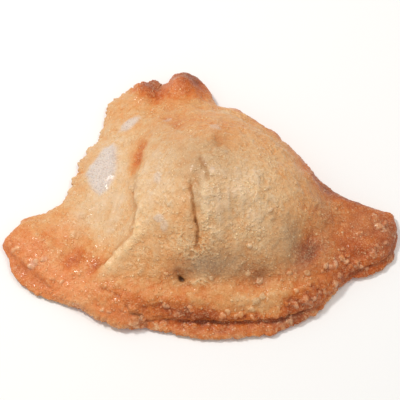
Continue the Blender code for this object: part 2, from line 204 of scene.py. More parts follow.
# Browner (+) and paler (-) places: name, x, y, half length, half width, turn in degrees, amount.
BROWNED = (
    ("left_ear", -48.0, -15.0, 9.0, 8.0, -20, 0.02),
    ("left_ear_tip", -59.0, -16.0, 3.0, 4.0, 0, 0.06),
    ("left_ear_seam", -48.0, -28.0, 9.0, 2.0, -42, 0.12),
    ("flap_valley", -36.0, -22.4, 6.4, 4.2, 62, 0.46),
    ("fold_valley", -30.4, -25.2, 4.0, 2.2, 52, 0.36),
    ("flap_root", -41.0, -15.0, 6.0, 4.0, 30, 0.06),
    ("below_flap", -30.0, -32.0, 10.0, 5.0, -15, 0.06),
    ("front_left", -22.0, -36.6, 9.0, 3.6, -22, 0.20),
    ("front_left_edge", -24.0, -41.0, 10.0, 2.4, -14, 0.28),
    ("front", -2.0, -33.0, 34.0, 6.0, 0, 0.06),
    ("front_right_band", 22.0, -30.4, 14.0, 4.0, 10, 0.16),
    ("left_of_valley", -40.0, -30.0, 12.0, 5.0, -30, 0.06),
    ("below_lobes", -6.0, 30.0, 8.0, 3.6, 0, 0.10),
    ("flap_top_pale", -27.0, 18.0, 6.0, 8.0, -20, -0.10),
    ("front_band", -8.0, -37.6, 14.0, 3.4, 0, 0.24),
    # Painted shadow: the dark band in the shade of the upper lip, just above the lower lip.
    ("seam_shadow", 0.0, -40.8, 10.0, 1.5, -4, 0.44),
    ("seam_shadow_right", 20.0, -41.2, 11.0, 1.2, 5, 0.30),
    ("front_right_edge", 29.0, -41.0, 7.0, 2.4, 25, 0.28),
    ("front_right", 31.0, -36.0, 12.0, 3.6, 35, 0.40),
    ("lower_lip", 4.0, -44.8, 28.0, 3.0, 0, 0.30),
    ("right_ear_top", 46.0, -6.0, 7.0, 4.0, -25, -0.10),
    ("right_ear_tip", 58.0, -12.0, 3.4, 6.0, 0, 0.20),
    ("right_ear_seam", 51.0, -19.0, 7.0, 1.6, 14, 0.12),
    ("right_ear_root", 38.0, -20.0, 8.0, 8.0, 30, 0.15),
    ("right_dent", 32.0, -21.8, 3.0, 5.0, -30, 0.58),
    ("right_rim", 40.0, -1.0, 12.0, 3.0, -30, 0.16),
    ("below_dent", 32.0, -27.6, 8.0, 4.0, 10, 0.10),
    ("right_lobe", -3.8, 42.0, 9.0, 8.0, 0, 0.68),
    ("right_lobe_side", 2.2, 38.4, 2.2, 5.6, 28, 0.04),
    ("left_lobe", -16.2, 40.2, 6.2, 6.0, 20, 0.58),
    ("fold_patch", -18.4, 9.4, 6.4, 2.4, 80, 0.46),
    ("fold_patch_side", -20.6, 6.4, 8.0, 2.8, 84, 0.10),
    ("flap_spot", -27.8, -7.1, 3.0, 1.8, 75, 0.08),
    ("crown_left", 5.4, 8.0, 5.0, 2.4, -60, 0.09),
    ("crown", 6.0, 16.0, 12.0, 5.0, -12, 0.12),
    ("crown_back", -8.0, 20.0, 8.0, 6.0, 0, 0.04),
    ("vent_left", -8.6, -28.8, 4.6, 3.0, 0, 0.18),
    ("tip_crease", -8.4, 19.6, 7.0, 2.0, -58, 0.14),
    ("right_slope", 34.0, -4.0, 14.0, 5.0, 84, 0.14),
    # Painted light: paler where the belly's right flank is lit more strongly.
    ("right_belly_lit", 20.0, -6.0, 5.0, 12.0, 0, -0.03),
    ("right_slope_top", 30.0, 9.0, 5.0, 3.0, -50, 0.14),
    # Painted shade on the crack's left wall, turned away from the light.
    ("crack_side_shade", -5.0, -16.0, 2.4, 7.0, 0, 0.10),
    ("fold_front", -24.0, -17.0, 4.0, 4.0, 40, -0.12),
    ("left_ear_top", -49.0, -10.0, 6.0, 4.0, 20, -0.10),
    ("flap_pale", -28.0, 0.0, 9.0, 18.0, -15, -0.30),
    ("belly_pale", 12.0, -10.0, 11.0, 12.0, 0, -0.22),
    ("belly_left_pale", -12.0, -4.0, 7.0, 15.0, 0, -0.22),
    ("shoulder_pale", 12.0, 25.4, 7.0, 2.4, -30, -0.06),
    ("crack_pale", 1.0, -12.0, 6.0, 6.0, 0, -0.10),
    ("back_right_pale", 24.0, 17.0, 6.0, 4.0, -35, -0.09),
    ("front_low", -6.0, -42.0, 16.0, 3.0, 0, 0.07),
)

# Where the dough has fried into fine winding wrinkles, in the same terms.
PUCKERED = (
    ("crack_foot", -0.8, -24.8, 6.0, 2.4, 8, 1.0),
    ("crack_left", -5.6, -21.6, 3.6, 2.6, 0, 0.7),
    ("crack_lip", 2.6, -11.0, 2.4, 10.0, -6, 0.75),
    ("crown", 5.0, 1.0, 6.0, 5.0, 0, 0.6),
    ("belly", 14.0, -12.0, 7.0, 9.0, 0, 0.5),
    ("belly_foot", 15.0, -21.0, 9.0, 3.0, 0, 0.5),
    ("belly_top", 22.0, 9.0, 6.0, 7.0, -30, 0.45),
    ("back", 10.0, 27.0, 8.0, 3.0, -20, 0.7),
    ("trough_end", 0.4, -32.0, 4.0, 1.2, 0, 0.8),
    ("fold", -16.0, -16.0, 2.4, 5.0, 0, 0.6),
    ("films", -10.4, -13.0, 2.6, 6.0, 0, 0.6),
    ("belly_right", 20.0, -4.0, 5.5, 13.0, 0, 0.45),
    # Its pale wrinkles also paint glints right of the crack's foot.
    ("crack_right", 2.6, -20.4, 2.6, 4.0, 0, 0.9),
)

# Where the wet filling shows greyish through thin dough, and where the same colour paints shade on the right
# side, in the same terms.
FILLING_AND_SHADE_PATCHES = (
    ("vent_trough", 0.0, -28.2, 8.0, 2.8, 0, 0.70),
    ("front_trough", 11.0, -28.4, 13.0, 3.6, 0, 0.55),
    ("dent", 17.6, -31.0, 2.4, 2.0, 0, 0.35),
    ("right_spot", 26.8, -19.2, 3.8, 4.4, 0, 0.62),
    ("belly_streaks", 10.0, -19.0, 9.0, 6.0, 0, 0.10),
    ("belly_crown", 5.0, 1.0, 8.0, 10.0, 0, 0.42),
    ("crown_left", -10.0, 14.0, 8.0, 14.0, 0, 0.20),
    # Painted shade: below the dent, down the right slope, on the right ear and at its root.
    ("below_dent", 29.0, -25.6, 6.0, 4.4, 0, 0.52),
    ("right_slope", 37.0, -6.0, 5.0, 14.0, 0, 0.40),
    ("right_ear", 49.0, -10.0, 8.0, 6.0, -15, 0.36),
    ("right_ear_root", 37.0, -20.0, 4.0, 5.0, 0, 0.30),
    ("crack", -0.6, -9.6, 2.4, 8.0, 0, 0.30),
    ("crown_middle", -4.0, 0.0, 5.0, 8.0, 0, 0.25),
    # Painted shade at the top of the right slope.
    ("right_slope_top", 26.0, 14.0, 8.0, 3.0, -40, 0.20),
)

# Where the crust is a reddish salmon colour, in the same terms.
BLUSHED = (
    ("left_ear", -53.0, -20.0, 13.0, 8.0, -30, 0.55),
    ("left_front", -39.0, -32.0, 12.0, 8.0, -25, 0.62),
    ("lobe_gap", -10.0, 40.0, 4.0, 5.0, 0, 0.6),
    ("front_left_edge", -24.0, -40.4, 9.0, 3.0, -14, 0.50),
    ("flap_root", -41.0, -12.0, 6.0, 5.0, 0, 0.35),
    # Partly painted light: the lower lip is lifted against the shade near the floor, as well as reddened.
    ("lower_lip", 4.0, -46.6, 30.0, 2.4, 0, 0.20),
    ("right_ear_tip", 57.0, -13.0, 4.0, 8.0, 0, 0.20),
)

# Places where the rim stands out further (+) or less (-): name, x, y, half width and millimetres.
RIM_LUMPS = (
    ("flap_notch", -36.6, 10.4, 2.6, -1.5),
    ("flap_step", -42.2, -0.6, 3.2, -0.9),
    ("left_ear_top", -56.6, -10.2, 3.4, -1.3),
    ("left_ear_below", -58.6, -20.8, 3.4, -0.6),
    ("left_front", -36.6, -38.6, 4.6, -0.9),
    ("left_lobe_top", -13.6, 42.0, 3.6, 1.5),
    ("froth", 12.2, 32.0, 3.0, 1.2),
    ("right_shoulder", 24.4, 23.2, 3.0, 0.8),
    ("lobe_notch", -10.6, 43.0, 1.6, -1.4),
    ("left_lobe_side", -18.6, 40.4, 2.6, 1.2),
    ("right_ear_corner", 58.4, -5.4, 2.2, 1.3),
    ("right_ear_foot", 58.0, -19.4, 2.4, 0.6),
    ("front_right", 35.4, -39.4, 4.0, 0.8),
    ("front_middle", 20.0, -46.0, 6.0, 0.6),
)


def smooth(value, start, end):
    """0 before start, 1 after end and an even curve between them."""
    share = np.clip((value - start) / (end - start), 0.0, 1.0)
    return share * share * (3.0 - 2.0 * share)


def clouds(points, size, octaves=3):
    """Soft noise of about -1 to 1, with lumps of a size in millimetres."""
    return np.array([noise.fractal(Vector(p), 0.8, 2.0, octaves) for p in points @ TURN / size])


def along_line(points, line):
    """For points seen from above: the distance from a line, positive on its right, and how far along it."""
    flat = points[:, :2]
    line = np.array(line, float)
    nearest = np.full(len(points), np.inf)
    side = np.ones(len(points))
    place = np.zeros(len(points))
    walked = 0.0
    for start, end in zip(line[:-1], line[1:]):
        run = end - start
        length = np.hypot(*run)
        share = np.clip((flat - start) @ run / length**2, 0.0, 1.0)
        away = np.hypot(*(flat - start - share[:, None] * run).T)
        closer = away < nearest
        to_right = (flat - start) @ np.array([run[1], -run[0]]) >= 0.0
        nearest = np.where(closer, away, nearest)
        side = np.where(closer, np.where(to_right, 1.0, -1.0), side)
        place = np.where(closer, walked + share * length, place)
        walked += length
    return nearest * side, place / walked


def inside_loop(points, loop):
    """How far inside a loop the points are, seen from above. Outside it is negative."""
    flat = points[:, :2]
    loop = np.array(loop, float)
    following = np.roll(loop, -1, 0)
    away, _ = along_line(points, np.vstack([loop, loop[:1]]))
    x, y = flat[:, :1], flat[:, 1:]
    crosses = (loop[:, 1] > y) != (following[:, 1] > y)
    rise = following[:, 1] - loop[:, 1]
    rise = np.where(rise == 0.0, 1.0, rise)
    crossing = loop[:, 0] + (y - loop[:, 1]) / rise * (following[:, 0] - loop[:, 0])
    within = (crosses & (x < crossing)).sum(axis=1) % 2 == 1
    return np.where(within, np.abs(away), -np.abs(away))


def patch(points, x, y, half_length, half_width, turn, amount):
    """A soft oval of a given amount in its middle, of which a third is left at its edge."""
    angle = math.radians(turn)
    dx, dy = points[:, 0] - x, points[:, 1] - y
    across_x = (dx * math.cos(angle) + dy * math.sin(angle)) / half_length
    across_y = (dy * math.cos(angle) - dx * math.sin(angle)) / half_width
    return amount * np.exp(-1.1 * (across_x**2 + across_y**2))


def between(bearing, stretch, ease=4.0):
    """1 on a stretch of the rim and 0 off it, with soft ends."""
    start, end = stretch
    return smooth(bearing, start - ease, start + ease) * (1.0 - smooth(bearing, end - ease, end + ease))


def strip(skin, line, half_width, ease, wobble=1.0):
    """1 along a line on the crust and 0 off it, fading out over a share of its length at both ends."""
    away, place = along_line(skin.drawn, line)
    here = smooth(place, 0.0, ease) * (1.0 - smooth(place, 1.0 - ease, 1.0)) * skin.upper
    return here * np.exp(-((away / half_width / wobble) ** 2))


def strengthen(masks, name, values):
    """Keeps the stronger of a mask and new values at each point."""
    masks[name] = np.maximum(masks[name], values)


def copy_of_node(name):
    """A CAD node's mesh as a bmesh with its doubles merged."""
    bm = bmesh.new()
    bm.from_mesh(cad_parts[name].data)
    bmesh.ops.remove_doubles(bm, verts=bm.verts, dist=1e-6)
    return bm


def object_from(bm, name):
    """An object at the origin that holds a bmesh, which is then freed."""
    mesh = bpy.data.meshes.new(name)
    bm.to_mesh(mesh)
    bm.free()
    obj = bpy.data.objects.new(name, mesh)
    bpy.context.scene.collection.objects.link(obj)
    return obj


def apply_modifiers(obj):
    """Replaces the object's mesh with what its modifiers make of it."""
    bpy.context.view_layer.update()
    evaluated = obj.evaluated_get(bpy.context.evaluated_depsgraph_get())
    mesh = bpy.data.meshes.new_from_object(evaluated)
    old = obj.data
    obj.modifiers.clear()
    obj.data = mesh
    bpy.data.meshes.remove(old)


def vectors(collection, field):
    """The vectors of a mesh's vertices as an array."""
    flat = np.empty(len(collection) * 3)
    collection.foreach_get(field, flat)
    return flat.reshape(-1, 3)


def move_vertices(mesh, places):
    """Moves the mesh's vertices to places given in millimetres."""
    mesh.vertices.foreach_set("co", (places * MM).ravel())
    mesh.update()


def inside_box(places):
    """Places in millimetres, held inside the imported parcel's box."""
    low, high = (np.array(corner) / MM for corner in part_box("pastry"))
    return np.clip(places, low, high)


def add_modifier(obj, kind, **settings):
    """Adds a modifier with its settings."""
    modifier = obj.modifiers.new(kind.lower(), kind)
    for name, value in settings.items():
        setattr(modifier, name, value)


def even_skin(obj, skin_mm):
    """Rounds the faceted parcel and gives it an even skin of small faces, coarser underneath."""
    add_modifier(obj, "SUBSURF", levels=2, render_levels=2)
    add_modifier(obj, "REMESH", mode="VOXEL", voxel_size=skin_mm * MM)
    add_modifier(obj, "SMOOTH", factor=0.5, iterations=8)
    apply_modifiers(obj)
    below = vectors(obj.data.vertices, "co")[:, 2] < 0.15 * MM
    group = obj.vertex_groups.new(name="underside")
    group.add(np.flatnonzero(below).tolist(), 1.0, "REPLACE")
    add_modifier(obj, "DECIMATE", ratio=1.0 - UNDERSIDE_MERGED * below.mean(), vertex_group="underside")
    apply_modifiers(obj)
    obj.vertex_groups.clear()


def thin_out(obj, most_triangles):
    """Merges the faces that the crust's shape needs least, down to a number of triangles."""
    obj.data.calc_loop_triangles()
    count = len(obj.data.loop_triangles)
    if count > most_triangles:
        add_modifier(obj, "DECIMATE", ratio=most_triangles / count)
        apply_modifiers(obj)


def evened(mesh, places, rounds):
    """The places of the mesh's vertices after a number of rounds of drawing each to its neighbours."""
    ends = np.empty(len(mesh.edges) * 2, int)
    mesh.edges.foreach_get("vertices", ends)
    one, other = ends.reshape(-1, 2).T
    count = len(places)
    shared = np.bincount(one, minlength=count) + np.bincount(other, minlength=count)
    result = places.copy()
    for _ in range(rounds):
        total = [
            np.bincount(one, axis[other], count) + np.bincount(other, axis[one], count)
            for axis in result.T
        ]
        result = 0.3 * result + 0.7 * np.stack(total, axis=1) / shared[:, None]
    return result


def hollows(mesh, places, rounds):
    """How deep each vertex lies in a hollow (+) or how far it stands out (-), in millimetres."""
    return ((evened(mesh, places, rounds) - places) * vectors(mesh.vertices, "normal")).sum(axis=1)


class Skin:
    """The crust's points in millimetres, with what its relief and its colours are worked out from."""

    def __init__(self, mesh):
        self.places = vectors(mesh.vertices, "co") / MM
        offset = self.places[:, :2] - MIDDLE
        bearing = np.degrees(np.arctan2(offset[:, 1], offset[:, 0])) % 360.0
        steps = 360 * STEPS_PER_DEGREE
        step = (bearing * STEPS_PER_DEGREE).astype(int) % steps
        reach = np.zeros(steps)
        np.maximum.at(reach, step, np.hypot(*offset.T))
        angle = np.radians((np.arange(steps) + 0.5) / STEPS_PER_DEGREE)
        rim = MIDDLE + reach[:, None] * np.stack([np.cos(angle), np.sin(angle)], axis=1)
        tree = kdtree.KDTree(steps)
        for k, (x, y) in enumerate(rim):
            tree.insert((x, y, 0.0), k)
        tree.balance()
        found = [tree.find((x, y, 0.0)) for x, y in self.places[:, :2]]
        # how far inside the rim each point is, seen from above, and the bearing of the rim's nearest place
        self.edge = np.array([away for _, _, away in found])
        self.bearing = np.array([(k + 0.5) / STEPS_PER_DEGREE for _, k, _ in found])
        self.close_seam(mesh)
        self.outward = vectors(mesh.vertices, "normal")
        self.upper = smooth(self.outward[:, 2], -0.25, 0.1)
        wander = np.stack([clouds(self.places + shift, 4.0, 2) for shift in (0.0, 37.0)], axis=1)
        self.drawn = self.places.copy()  # the points as the creases see them, so that those wander
        self.drawn[:, :2] += 0.45 * wander
        self.tree = kdtree.KDTree(len(self.places))
        for k, place in enumerate(self.places):
            self.tree.insert(place, k)
        self.tree.balance()
        stretches = (FRONT_SEAM, RIGHT_EAR_SEAM, LEFT_EAR_SEAM)
        self.seam = np.max([between(self.bearing, stretch) for stretch in stretches], axis=0)
        self.flap = patch(self.places, *FLAP)

    def close_seam(self, mesh):
        """Evens out the left ear's seam, which is fried almost shut, and the gap between the lobes."""
        ear = between(self.bearing, LEFT_EAR_SEAM, 10.0) * smooth(self.edge, 0.6, 1.6)
        ear *= smooth(self.edge, 9.0, 6.0)
        closed = np.maximum(ear, patch(self.places, *LOBE_GAP) * smooth(self.edge, 0.0, 1.2))
        self.places += 0.85 * closed[:, None] * (evened(mesh, self.places, 40) - self.places)
        move_vertices(mesh, self.places)


def scatter(skin, chance, count, gap, rng):
    """Picks up to count points of the skin by chance, none nearer to another than the gap."""
    tries = min(count * 3, (chance > 0).sum())
    order = rng.choice(len(chance), size=tries, replace=False, p=chance / chance.sum())
    taken = {}
    picked = []
    for point in order:
        place = skin.places[point]
        cell = tuple(np.floor(place / gap).astype(int))
        near = (
            taken.get((cell[0] + i, cell[1] + j, cell[2] + k))
            for i, j, k in itertools.product((-1, 0, 1), repeat=3)
        )
        if all(other is None or np.linalg.norm(other - place) > gap for other in near):
            taken[cell] = place
            picked.append(point)
        if len(picked) == count:
            break
    return np.array(picked)


def blisters(skin, picked, radii, heights, rng, ragged, sharp=0.6):
    """The lift of uneven, oval blisters, how near each point is to a top, and to a foot."""
    lift = np.zeros(len(skin.places))
    top = np.zeros(len(skin.places))
    foot = np.zeros(len(skin.places))
    stretch = rng.normal(size=(len(picked), 3))
    stretch /= np.linalg.norm(stretch, axis=1, keepdims=True)
    for k, radius, height, axis in zip(picked, radii, heights, stretch):
        found = np.array([point for _, point, _ in skin.tree.find_range(skin.places[k], radius * 1.5)])
        offset = skin.places[found] - skin.places[k]
        share = 1.0 - ((offset**2).sum(axis=1) + 1.1 * (offset @ axis) ** 2) / radius**2 + ragged[found]
        inside = np.clip(share, 0.0, 1.0)
        lift[found] = np.maximum(lift[found], height * inside**sharp)
        top[found] = np.maximum(top[found], inside)
        foot[found] = np.maximum(foot[found], np.exp(-((share / 0.3) ** 2)))
    return lift, top, foot


def fold_over(skin, masks):
    """The lift where the belly's sheet ends in a rounded edge, painted pale along that edge as a highlight,
    over a painted line of shadow on the flap.
    """
    away, place = along_line(skin.drawn, FOLD_LINE)
    here = smooth(place, 0.0, 0.08) * (1.0 - smooth(place, 0.8, 1.0)) * skin.upper
    here *= 0.3 + 0.7 * (1.0 - smooth(place, 0.5, 0.8))
    ragged = 1.0 + 0.6 * clouds(skin.places, 2.4, 2)
    edge = smooth(away, -0.5, 1.1) * np.exp(-((np.maximum(away, 0.0) / 3.2) ** 2))
    foot = np.exp(-(((away + 0.4) / 0.8) ** 2))
    # Painted shadow at the foot of the edge, and a painted highlight along the edge.
    strengthen(masks, "crease_shade", 0.22 * here * foot * ragged)
    strengthen(masks, "pale", here * edge * ragged * (0.3 + 0.6 * (1.0 - smooth(place, 0.3, 0.55))))
    return here * (0.75 * edge * ragged - 0.15 * foot)


def creased(skin, masks):
    """The lift of the creases and the ridges, with painted shade in the creases and paler ridges that are
    partly painted highlight.
    """
    lift = np.zeros(len(skin.places))
    wobble = 1.0 + 0.5 * clouds(skin.places, 2.0, 2)
    for _, half_width, depth, darkness, *line in CREASES:
        here = strip(skin, line, half_width, 0.25, wobble)
        lift -= depth * here
        # Painted shade in the crease.
        strengthen(masks, "crease_shade", darkness * here)
    for _, half_width, height, pale_and_highlight, *line in RIDGES:
        here = strip(skin, line, half_width, 0.3)
        lift += height * here * wobble
        # Paler along the ridge, partly painted highlight.
        strengthen(masks, "pale", pale_and_highlight * here * wobble)
    return lift


def lifted_films(skin, masks):
    """The lift of the white blisters, where a film of dough stands off the rest."""
    depth = inside_loop(skin.drawn, BIG_BLISTER)
    film = smooth(depth, -0.9, 1.3)
    lift = 0.55 * smooth(depth, -0.6, 2.4)
    ragged = 0.25 * clouds(skin.places, 1.4, 2)
    for *oval, amount in SMALL_FILMS:
        share = patch(skin.drawn, *oval, 1.0)
        film = np.maximum(film, amount * smooth(share + ragged * (1.0 - share), 0.3, 0.8))
        lift += 0.3 * amount * smooth(share, 0.2, 0.8)
    masks["film"] = film * skin.upper
    return lift * skin.upper


def wrinkled(skin, masks):
    """The lift of fine wrinkles: down the belly's front, beside the fold and in the puckered places."""
    x, y, _ = skin.places.T
    down = np.stack([x / 1.3, y / 7.0, np.zeros(len(x))], axis=1)
    beside = np.stack([(x - 0.25 * y) / 2.2, y / 11.0, np.ones(len(x))], axis=1)
    belly = patch(skin.places, *WRINKLED_BELLY)
    flap = patch(skin.places, *WRINKLED_FLAP)
    lift = 0.22 * belly * clouds(down, 1.0, 2) + 0.32 * flap * clouds(beside, 1.0, 2)
    pucker = np.max([patch(skin.places, *shape) for _, *shape in PUCKERED], axis=0)
    ridges = np.clip(1.0 - np.abs(clouds(skin.places, 1.9, 3)) * 4.0, 0.0, 1.0)
    strengthen(masks, "pale", pucker * ridges * skin.upper)
    return (lift + 0.42 * pucker * ridges) * skin.upper


def vented(skin, masks):
    """The lift round the vent hole in the trough, and at the dent further along, with the hole painted dark
    and painted shadow round it.
    """
    # The inside of the hole is painted dark, as shade over a shallow dent.
    masks["vent"] = smooth(patch(skin.drawn, *VENT_HOLE) * skin.upper, 0.2, 0.8)
    # Painted shadow round the vent.
    strengthen(masks, "crease_shade", patch(skin.places, *VENT_SHADOW) * skin.upper)
    return -0.8 * masks["vent"] - 0.8 * patch(skin.places, *DENT) * skin.upper


def bubbled(skin, masks, rng, style):
    """The lift of the blisters: fine ones in drifts all over, and larger bubbles near the rim."""
    drifts = smooth(clouds(skin.places + 90.0, 5.0, 3), -0.25, 0.55)
    bare = (1.0 - masks["film"]) * (1.0 - 0.8 * skin.flap) * smooth(skin.upper, 0.2, 0.8)
    front = between(skin.bearing, BLISTERED_FRONT, 8.0) * smooth(skin.edge, 16.0, 3.0)
    ragged = 0.6 * clouds(skin.places + 70.0, 1.0, 2)
    masks["blistered"] = (0.3 + 0.7 * drifts) * bare

    chance = (0.1 + drifts) * (0.5 - 0.2 * front) * bare
    fine = scatter(skin, chance, style.fine_blisters, 0.65, rng)
    radii = rng.uniform(0.36, 0.72, len(fine))
    heights = radii * rng.uniform(0.12, 0.34, len(fine))
    fine_lift, fine_top, fine_foot = blisters(skin, fine, radii, heights, rng, ragged)

    near_rim = np.exp(-skin.edge / 4.0)
    ears = smooth(np.abs(skin.places[:, 0]), 36.0, 50.0)
    chance = drifts**2 * (0.02 + 1.4 * near_rim * skin.seam + 0.5 * front * near_rim + 0.3 * ears) * bare
    large = scatter(skin, chance, style.large_blisters, 1.2, rng)
    radii = rng.uniform(0.5, 0.9, len(large))
    placed = np.array(BUBBLES)
    on_top = np.flatnonzero(skin.upper > 0.9)
    seen = skin.places[on_top, :2]
    nearest = [on_top[np.hypot(*(seen - place[:2]).T).argmin()] for place in placed]
    large = np.concatenate([large, nearest]).astype(int)
    radii = np.concatenate([radii, placed[:, 2]])
    heights = radii * rng.uniform(0.40, 0.62, len(large))
    large_lift, large_top, large_foot = blisters(skin, large, radii, heights, rng, ragged, 0.5)

    fine_ring, large_ring = (
        np.exp(-(((near - 0.3) / 0.22) ** 2)) * (near > 0.0) for near in (fine_top, large_top)
    )
    broken = np.clip(0.6 + 1.4 * clouds(skin.places + 40.0, 1.2, 2), 0.0, 1.3)
    crumbly = between(skin.bearing, CRUMBLY_LIP) * np.exp(-skin.edge / 0.9) * skin.upper
    crumbs = np.clip(0.1 + 1.8 * clouds(skin.places, 1.6, 2), 0.0, 0.7)
    strengthen(masks, "pale", crumbly * crumbs)
    # Pale rings round the fine blisters, painted as their rim highlights.
    strengthen(masks, "pale", 0.4 * broken * fine_ring)
    # The larger bubbles' pale skin, with bright cores and rims painted as highlights.
    bubble_skin_and_highlights = broken * (0.15 * large_top**0.4 + 0.45 * large_top**3 + 0.55 * large_ring)
    masks["bubble"] = np.clip(bubble_skin_and_highlights, 0.0, 1.0)
    # The blisters' feet, which the material paints darker, partly as browning and partly as shade.
    masks["foot"] = np.maximum(0.3 * fine_foot, 0.5 * large_foot)
    return np.maximum(fine_lift, large_lift)


def frayed(skin):
    """How far the rim moves out in small scallops and teeth, most on the thin edge of the flap."""
    flap = between(skin.bearing, FLAP_EDGE) + 0.3 * between(skin.bearing, FRAYED_FRONT)
    angle = np.radians(skin.bearing)
    rim_place = np.stack([60.0 * np.cos(angle), 60.0 * np.sin(angle), 0.6 * skin.places[:, 2]], axis=1)
    scallops = clouds(rim_place, 5.5, 3) * (0.3 + 0.6 * flap)
    teeth = (0.35 - np.abs(clouds(rim_place + 20.0, 2.6, 2))) * (0.6 + 1.3 * flap)
    lumps = np.zeros(len(angle))
    for _, x, y, half_width, out in RIM_LUMPS:
        lumps += patch(skin.places, x, y, half_width, half_width, 0, out)
    return (scallops + teeth + 1.3 * lumps) * np.exp(-skin.edge / 2.0)


def wavering(skin):
    """How far the upper sheet's lip along the open seam moves out and in."""
    lip = between(skin.bearing, WAVERING_LIP) * np.exp(-(((skin.edge - 4.2) / 2.4) ** 2)) * skin.upper
    seen_from_above = skin.places * (1.0, 1.0, 0.0)
    return lip * (0.9 * clouds(seen_from_above, 6.0, 2) + 0.5 * clouds(skin.places + 15.0, 2.2, 2))


def shape_crust(skin, rng, style):
    """The crust's relief as a lift along its outward directions, and the masks for its colours, its painted
    shade and its painted highlights.
    """
    masks = {name: np.zeros(len(skin.places)) for name in ("crease_shade", "pale")}
    lift = lifted_films(skin, masks)
    lift += fold_over(skin, masks) + creased(skin, masks) + wrinkled(skin, masks) + vented(skin, masks)
    soft_lumps = 0.62 * clouds(skin.places, 9.0, 2) + 0.32 * clouds(skin.places, 3.4, 2)
    lift += (1.0 - 0.4 * skin.flap) * soft_lumps
    lift += patch(skin.places, *RIGHT_BULGE) * skin.upper
    lift += style.grain_mm * clouds(skin.places, 1.1, 3) * (1.0 - 0.6 * masks["film"])
    crimped = between(skin.bearing, CRIMPED_RIM) * smooth(skin.edge, 9.0, 3.0)
    lift += crimped * (0.08 * clouds(skin.places + 30.0, 1.3, 2) + 0.34 * clouds(skin.places + 20.0, 4.2, 2))
    lip = between(skin.bearing, LUMPY_LIP) * smooth(skin.edge, 6.5, 4.0)
    lift += 0.32 * lip * clouds(skin.places + 60.0, 2.2, 2)
    lift += bubbled(skin, masks, rng, style)
    return lift, masks


def grown(skin, lift):
    """The crust's places once its relief, its frayed rim and its wavering lip have moved them."""
    above = smooth(skin.places[:, 2], 0.1, 0.6)
    near_edge = 0.35 + 0.65 * smooth(skin.edge, 0.0, 3.0)
    moved = skin.places + skin.outward * (lift * near_edge * above)[:, None]
    level = skin.outward * (1.0, 1.0, 0.0)
    level /= np.maximum(np.linalg.norm(level, axis=1, keepdims=True), 1e-6)
    moved += level * (frayed(skin) * (1.0 - smooth(skin.outward[:, 2], 0.6, 1.0)))[:, None]
    radial = skin.places[:, :2] - MIDDLE
    reach = np.maximum(np.linalg.norm(radial, axis=1), 1.0)
    moved[:, :2] += radial / reach[:, None] * wavering(skin)[:, None]
    moved[:, 2] += (1.0 - above) * np.clip(0.5 * clouds(skin.places, 8.0, 3), 0.0, 0.35)
    return inside_box(moved)


def toast_crust(skin):
    """How brown each point is, from 0 for pale dough to 1 for dark crust."""
    toast = np.full(len(skin.places), PLAIN_TOAST)
    x = skin.places[:, 0]
    toast += 0.40 * smooth(x, 30.0, 50.0) + 0.22 * smooth(-x, 38.0, 54.0)
    for _, *shape in BROWNED:
        toast += patch(skin.drawn, *shape)
    right_fold = between(skin.bearing, RIGHT_FOLD, 6.0)
    toast += 0.34 * right_fold * np.exp(-((skin.edge / 3.0) ** 2))
    toast += 0.12 * skin.seam * np.exp(-((skin.edge / 4.0) ** 2))
    toast += 0.08 * clouds(skin.places, 7.0, 3) + 0.05 * clouds(skin.places + 50.0, 2.2, 2)
    below = 0.55 + 0.25 * clouds(skin.places, 12.0, 3)
    toast = skin.upper * toast + (1.0 - skin.upper) * below
    return np.clip(toast, 0.0, 1.0)


def patched_share(skin, patches):
    """How strong a patched colour is at each point, from its patches: a stain, painted shade and blush."""
    total = np.zeros(len(skin.places))
    for _, *shape in patches:
        total += patch(skin.drawn, *shape)
    return np.clip(total * skin.upper, 0.0, 1.0)


def store(mesh, name, values):
    """Keeps one number for each vertex under a name that the material reads."""
    attribute = mesh.attributes.new(name, "FLOAT", "POINT")
    attribute.data.foreach_set("value", np.asarray(values, np.float32))


class Wire:
    """A shader socket that can be used in a formula."""

    def __init__(self, tree, socket):
        self.tree = tree
        self.socket = socket

    def node(self, kind, settings=None, inputs=None, output=0):
        """Adds a node, sets it up, feeds its sockets and returns one of its outputs."""
        made = self.tree.nodes.new(kind)
        for name, value in (settings or {}).items():
            if name == "stops":
                set_stops(made.color_ramp, value)
            else:
                setattr(made, name, value)
        for key, value in (inputs or {}).items():
            if isinstance(value, Wire):
                self.tree.links.new(value.socket, made.inputs[key])
            else:
                made.inputs[key].default_value = value
        return Wire(self.tree, made.outputs[output])

    def feed(self, shader, name):
        """Links this wire to one of a shader's sockets."""
        self.tree.links.new(self.socket, shader.inputs[name])

    def math(self, operation, *values, clamp=False):
        """A Math node on its values, of which this wire is one."""
        inputs = dict(enumerate(values))
        return self.node("ShaderNodeMath", {"operation": operation, "use_clamp": clamp}, inputs)

    def __add__(self, other):
        return self.math("ADD", self, other)

    __radd__ = __add__

    def __sub__(self, other):
        return self.math("SUBTRACT", self, other)

    def __rsub__(self, other):
        return self.math("SUBTRACT", other, self)

    def __mul__(self, other):
        return self.math("MULTIPLY", self, other)

    __rmul__ = __mul__

    def clamped(self):
        """The same value, held between 0 and 1."""
        return self.math("ADD", self, 0.0, clamp=True)

    def ramp(self, start, end):
        """A soft step from 0 to 1."""
        settings = {"interpolation_type": "SMOOTHSTEP"}
        return self.node("ShaderNodeMapRange", settings, {"Value": self, "From Min": start, "From Max": end})

    def under(self, colour, share, blend):
        """This colour with a share of another laid over it."""
        settings = {"data_type": "RGBA", "blend_type": blend, "clamp_factor": True}
        return self.node("ShaderNodeMix", settings, {0: share, 6: self, 7: colour}, 2)


